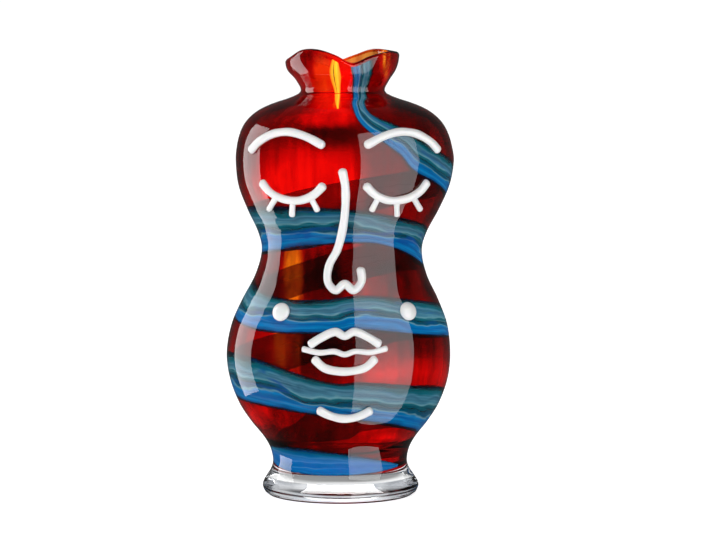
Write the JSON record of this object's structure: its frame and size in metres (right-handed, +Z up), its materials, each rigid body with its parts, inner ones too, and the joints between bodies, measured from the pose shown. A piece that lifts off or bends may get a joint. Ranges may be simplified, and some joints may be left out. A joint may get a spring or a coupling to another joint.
{
  "type": "glass face vase",
  "caption": "Tall flattened cased glass vase with a pinched neck, wavy flared lip, clear foot, spiral colour ribbon and a face of raised white glass threads.",
  "frame": {"origin": "centre of the foot's flat sole", "axes": "+Z up along the height, +X to the right seen from the front, -Y towards the front, where the face is"},
  "size_m": [0.1684, 0.1243, 0.3304],
  "materials": {
    "clear_glass": "fire-polished clear glass",
    "ruby_glass": "transparent ruby glass",
    "blue_glass": "streaked teal and blue glass",
    "amber_glass": "amber glass",
    "white_glass": "opaque white glass, glossy"
  },
  "bodies": {
    "root": {"clear_foot": "clear_glass", "clear_casing": "clear_glass", "ruby_core": "ruby_glass", "blue_ribbon": "blue_glass", "amber_cane": "amber_glass", "left_brow_thread": "white_glass", "right_brow_thread": "white_glass", "left_lid_thread": "white_glass", "right_lid_thread": "white_glass", "left_lash_threads": "white_glass", "right_lash_threads": "white_glass", "left_cheek_dot": "white_glass", "right_cheek_dot": "white_glass", "nose_thread": "white_glass", "lip_parting_thread": "white_glass", "upper_lip_thread": "white_glass", "lower_lip_thread": "white_glass", "chin_thread": "white_glass"}
  },
  "joints": []
}
